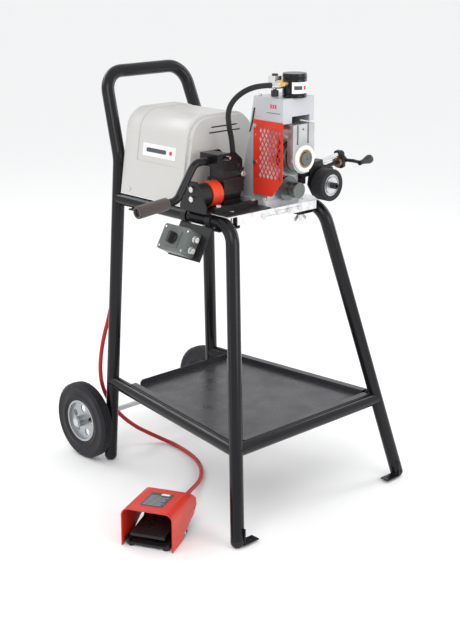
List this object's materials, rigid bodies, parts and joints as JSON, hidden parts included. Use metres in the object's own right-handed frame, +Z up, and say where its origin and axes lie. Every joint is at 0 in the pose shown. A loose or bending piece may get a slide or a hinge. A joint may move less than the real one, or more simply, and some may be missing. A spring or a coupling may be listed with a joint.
{
  "type": "roll grooving machine",
  "caption": "Powered hydraulic roll groover for pipe ends on a wheeled tubular stand: motor drive, grooving head, hand pump, stabilizer roller, tool tray and foot switch",
  "frame": {"origin": "on the floor under the centre of the whole machine's box, foot switch included and the free cord left out", "axes": "+Z up, -Y the operator's side with the rolls, +X to the right seen from the operator's side"},
  "size_m": [0.91, 0.9152, 1.223],
  "materials": {
    "black_gloss_paint": "gloss",
    "black_satin_paint": "satin",
    "grey_casting_paint": "satin",
    "cover_grey_plastic": "satin",
    "orange_paint": "satin",
    "zinc_sheet": "satin",
    "tray_sheet": "satin",
    "machined_steel": "satin",
    "hard_roll_steel": "satin",
    "bright_fasteners": "polished",
    "chrome_rod": "polished",
    "bronze": "satin",
    "brass_and_nickel": "polished",
    "black_rubber": "matte",
    "tyre_rubber": "matte",
    "rim_alloy": "satin",
    "foam_grip": "matte",
    "black_plastic": "satin",
    "white_ring": "satin",
    "red_cord": "satin",
    "switch_box_paint": "satin",
    "spring_steel": "satin",
    "iron_gear": "satin",
    "motor_iron": "satin"
  },
  "bodies": {
    "frame": {"handle_and_rear_legs": "black_gloss_paint", "left_rail_and_front_leg": "black_gloss_paint", "right_rail_and_front_leg": "black_gloss_paint", "tray_rails": "black_gloss_paint", "leg_plugs": "black_rubber", "wheel_axle": "machined_steel", "tray": "tray_sheet", "base_plate": "zinc_sheet", "bolts_and_wing_nuts": "bright_fasteners", "rail_clamps": "black_satin_paint", "motor_cover": "cover_grey_plastic", "panel_screws": "bright_fasteners", "motor_housing": "motor_iron", "gear_case": "black_satin_paint", "bronze_bushes": "bronze", "head_casting": "grey_casting_paint", "ram_cylinder": "black_gloss_paint", "return_spring": "spring_steel", "roll_guard": "orange_paint", "depth_stop_block": "bright_fasteners", "stabilizer_supports": "black_satin_paint", "stabilizer_guide_rod": "chrome_rod", "pump_base": "black_satin_paint", "pump_reservoir": "black_satin_paint", "pump_head": "black_satin_paint", "hose_fittings": "brass_and_nickel", "switch_bracket": "black_satin_paint", "switch_box": "switch_box_paint", "cord_glands": "bright_fasteners", "foot_switch_guard": "orange_paint", "foot_switch_base": "black_satin_paint", "pedal_spring": "spring_steel", "hydraulic_hose": "black_rubber", "foot_switch_cord": "red_cord"},
    "left_wheel": {"left_tyre": "tyre_rubber", "left_wheel_rim": "rim_alloy"},
    "right_wheel": {"right_tyre": "tyre_rubber", "right_wheel_rim": "rim_alloy"},
    "drive": {"drive_shaft": "iron_gear", "drive_roll": "hard_roll_steel"},
    "layshaft_two_body": {"layshaft_two": "iron_gear"},
    "layshaft_one_body": {"layshaft_one": "iron_gear"},
    "rotor": {"motor_rotor": "motor_iron"},
    "ram_body": {"ram": "machined_steel", "ram_bushes_and_ring": "white_ring", "ram_piston": "chrome_rod"},
    "upper_roll": {"upper_groove_roll": "hard_roll_steel"},
    "depth_screw": {"depth_stop_screw": "black_plastic"},
    "crank": {"stabilizer_screw_and_crank": "black_satin_paint"},
    "knob": {"crank_knob": "black_plastic"},
    "carriage": {"stabilizer_carriage": "black_satin_paint", "roller_bolt": "machined_steel"},
    "roller": {"stabilizer_tyre": "black_rubber", "stabilizer_hub": "rim_alloy"},
    "lever": {"pump_lever": "black_gloss_paint", "lever_grip": "foam_grip"},
    "plunger": {"pump_plunger": "chrome_rod"},
    "release": {"release_knob": "bright_fasteners"},
    "reversing_knob": {"switch_knob": "black_plastic"},
    "pedal": {"foot_pedal": "black_satin_paint"}
  },
  "joints": [
    {"name": "left_wheel_spin", "type": "hinge", "parent": "frame", "child": "left_wheel", "pos_m": [-0.15662, 0.3361, 0.1215], "axis": [1, 0, 0], "continuous": true},
    {"name": "right_wheel_spin", "type": "hinge", "parent": "frame", "child": "right_wheel", "pos_m": [0.35838, 0.3361, 0.1215], "axis": [1, 0, 0], "continuous": true},
    {"name": "rotor_spin", "type": "hinge", "parent": "frame", "child": "rotor", "pos_m": [0.00224, 0.0844, 0.94626], "axis": [0, 1, 0], "continuous": true},
    {"name": "layshaft_one_spin", "type": "hinge", "parent": "frame", "child": "layshaft_one_body", "pos_m": [0.05862, -0.0256, 0.96678], "axis": [0, 1, 0], "continuous": true},
    {"name": "layshaft_two_spin", "type": "hinge", "parent": "frame", "child": "layshaft_two_body", "pos_m": [0.11059, -0.0256, 0.93678], "axis": [0, 1, 0], "continuous": true},
    {"name": "drive_roll_spin", "type": "hinge", "parent": "frame", "child": "drive", "pos_m": [0.14788, -0.1656, 0.902], "axis": [0, 1, 0], "continuous": true},
    {"name": "ram_slide", "type": "slide", "parent": "frame", "child": "ram_body", "axis": [0, 0, -1], "range_m": [0, 0.022], "stiffness_N_per_m": 2500, "springref_m": -0.02, "deforming": ["return_spring"]},
    {"name": "upper_roll_spin", "type": "hinge", "parent": "ram_body", "child": "upper_roll", "pos_m": [0.14788, -0.2586, 0.994], "axis": [0, 1, 0], "continuous": true},
    {"name": "depth_stop_turn", "type": "hinge", "parent": "frame", "child": "depth_screw", "pos_m": [0.10088, -0.2316, 1.19], "axis": [0, 0, 1], "range_deg": [-720, 720]},
    {"name": "crank_turn", "type": "hinge", "parent": "frame", "child": "crank", "pos_m": [0.37995, -0.2286, 0.94914], "axis": [0.9885, 0, 0.1513], "range_deg": [-2736, 1008]},
    {"name": "crank_knob_spin", "type": "hinge", "parent": "crank", "child": "knob", "pos_m": [0.41949, -0.2956, 0.9552], "axis": [0.9885, 0, 0.1513], "continuous": true},
    {"name": "stabilizer_slide", "type": "slide", "parent": "frame", "child": "carriage", "axis": [0.9885, 0, 0.1513], "range_m": [-0.0381, 0.0141]},
    {"name": "stabilizer_roller_spin", "type": "hinge", "parent": "carriage", "child": "roller", "pos_m": [0.27488, -0.2686, 0.9], "axis": [0, 1, 0], "continuous": true},
    {"name": "pump_lever_stroke", "type": "hinge", "parent": "frame", "child": "lever", "pos_m": [0.02488, -0.1306, 0.973], "axis": [0, 1, 0], "range_deg": [0, 35]},
    {"name": "pump_plunger_slide", "type": "slide", "parent": "frame", "child": "plunger", "axis": [0, 0, 1], "range_m": [0, 0.0248]},
    {"name": "release_knob_turn", "type": "hinge", "parent": "frame", "child": "release", "pos_m": [0.04088, -0.1706, 0.948], "axis": [0, 1, 0], "range_deg": [0, 180]},
    {"name": "reversing_knob_turn", "type": "hinge", "parent": "frame", "child": "reversing_knob", "pos_m": [-0.15977, -0.1016, 0.78658], "axis": [-0.87, 0, 0.493], "range_deg": [-45, 45]},
    {"name": "foot_pedal_press", "type": "hinge", "parent": "frame", "child": "pedal", "pos_m": [-0.28731, -0.21087, 0.046], "axis": [0.4648, -0.8854, 0], "range_deg": [0, 7.5], "stiffness_Nm_per_rad": 8, "springref_deg": -6.88, "deforming": ["pedal_spring"]}
  ],
  "couplings": [
    {"joint": "layshaft_one_spin", "follows": "rotor_spin", "ratio": -0.25},
    {"joint": "layshaft_two_spin", "follows": "rotor_spin", "ratio": 0.0625},
    {"joint": "drive_roll_spin", "follows": "rotor_spin", "ratio": -0.021382},
    {"joint": "stabilizer_slide", "follows": "crank_turn", "m_per_rad": 0.00079577},
    {"joint": "pump_plunger_slide", "follows": "pump_lever_stroke", "m_per_rad": 0.040434}
  ]
}
